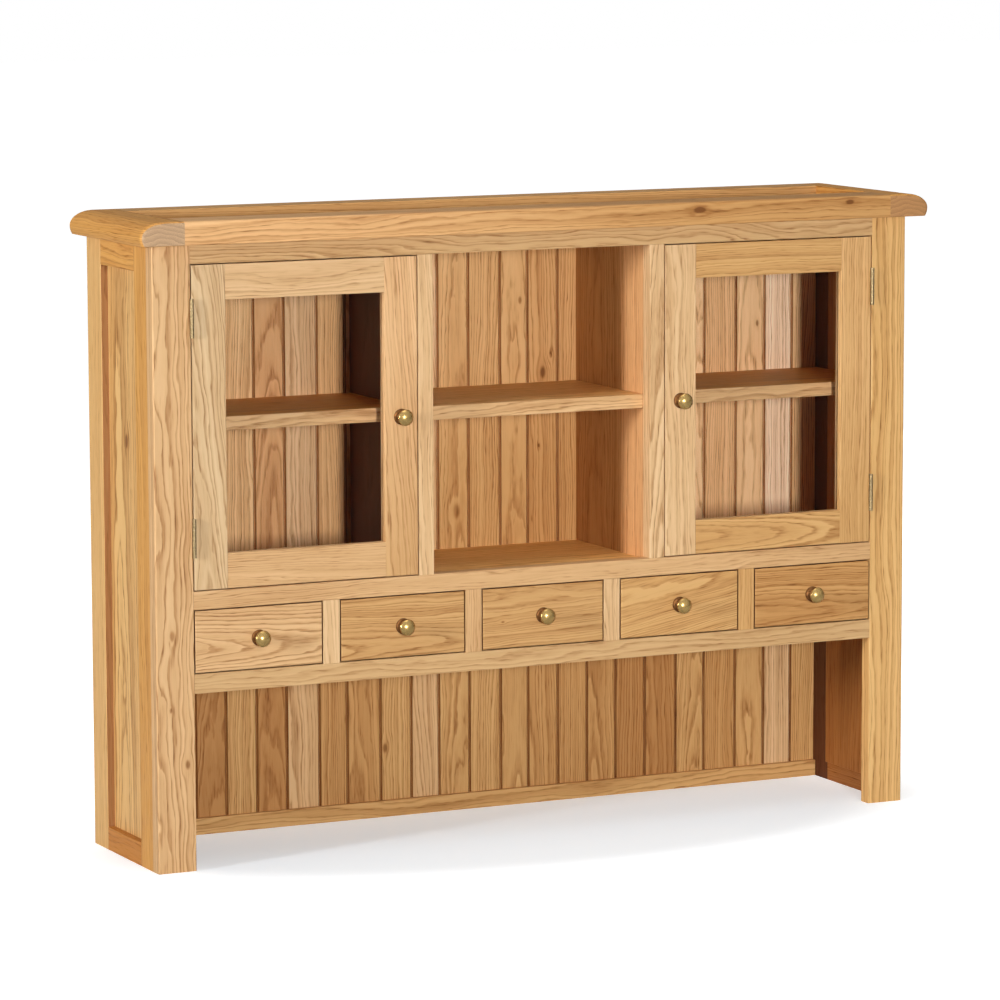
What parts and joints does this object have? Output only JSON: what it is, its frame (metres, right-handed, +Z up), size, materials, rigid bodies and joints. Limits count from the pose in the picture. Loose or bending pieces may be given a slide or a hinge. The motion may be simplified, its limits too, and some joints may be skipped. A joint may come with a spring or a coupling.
{
  "type": "hutch",
  "caption": "Oak hutch for standing on a sideboard: glazed cupboards either side of an open bay, a row of small drawers and an open space with a boarded back below.",
  "frame": {"origin": "middle of the overall footprint, on the plane the hutch stands on", "axes": "+X to the right seen from the front, +Y from the front to the back, +Z up"},
  "size_m": [1.49, 0.324, 1.09],
  "materials": {
    "oak": "satin",
    "inner_wood": "matte",
    "glass": "gloss",
    "knob_brass": "satin",
    "hinge_brass": "satin",
    "steel": "satin",
    "catch": "matte"
  },
  "bodies": {
    "carcass": {"left_post": "oak", "right_post": "oak", "top_rail": "oak", "middle_rail": "oak", "lower_rail": "oak", "divider_stiles": "oak", "drawer_stiles": "oak", "left_divider": "oak", "right_divider": "oak", "left_side_stiles": "oak", "left_side_rails": "oak", "left_side_panel": "oak", "right_side_stiles": "oak", "right_side_rails": "oak", "right_side_panel": "oak", "back_boards": "oak", "back_rails": "oak", "cornice_left_end": "oak", "cornice_right_end": "oak", "cornice_front_rail": "oak", "cornice_back_rail": "oak", "left_shelf": "oak", "centre_shelf": "oak", "right_shelf": "oak", "cupboard_floor": "oak", "cornice_dust_panel": "inner_wood", "drawer_bed": "inner_wood", "drawer_guides": "inner_wood", "shelf_pins": "steel", "door_catches": "catch", "hinge_frame_leaves": "hinge_brass", "hinge_pins": "hinge_brass"},
    "left_door": {"left_door_stiles": "oak", "left_door_rails": "oak", "left_door_beads": "oak", "left_door_glass": "glass", "left_door_knob": "knob_brass", "left_door_hinge_leaves": "hinge_brass"},
    "right_door": {"right_door_stiles": "oak", "right_door_rails": "oak", "right_door_beads": "oak", "right_door_glass": "glass", "right_door_knob": "knob_brass", "right_door_hinge_leaves": "hinge_brass"},
    "drawer_1": {"drawer_1_front": "oak", "drawer_1_box": "inner_wood", "drawer_1_knob": "knob_brass"},
    "drawer_2": {"drawer_2_front": "oak", "drawer_2_box": "inner_wood", "drawer_2_knob": "knob_brass"},
    "drawer_3": {"drawer_3_front": "oak", "drawer_3_box": "inner_wood", "drawer_3_knob": "knob_brass"},
    "drawer_4": {"drawer_4_front": "oak", "drawer_4_box": "inner_wood", "drawer_4_knob": "knob_brass"},
    "drawer_5": {"drawer_5_front": "oak", "drawer_5_box": "inner_wood", "drawer_5_knob": "knob_brass"}
  },
  "joints": [
    {"name": "left_door_hinge", "type": "hinge", "parent": "carcass", "child": "left_door", "pos_m": [-0.646, -0.1366, 0.7445], "axis": [0, 0, -1], "range_deg": [0, 170]},
    {"name": "right_door_hinge", "type": "hinge", "parent": "carcass", "child": "right_door", "pos_m": [0.646, -0.1366, 0.7445], "axis": [0, 0, 1], "range_deg": [0, 170]},
    {"name": "drawer_1_slide", "type": "slide", "parent": "carcass", "child": "drawer_1", "axis": [0, -1, 0], "range_m": [0, 0.2]},
    {"name": "drawer_2_slide", "type": "slide", "parent": "carcass", "child": "drawer_2", "axis": [0, -1, 0], "range_m": [0, 0.2]},
    {"name": "drawer_3_slide", "type": "slide", "parent": "carcass", "child": "drawer_3", "axis": [0, -1, 0], "range_m": [0, 0.2]},
    {"name": "drawer_4_slide", "type": "slide", "parent": "carcass", "child": "drawer_4", "axis": [0, -1, 0], "range_m": [0, 0.2]},
    {"name": "drawer_5_slide", "type": "slide", "parent": "carcass", "child": "drawer_5", "axis": [0, -1, 0], "range_m": [0, 0.2]}
  ]
}
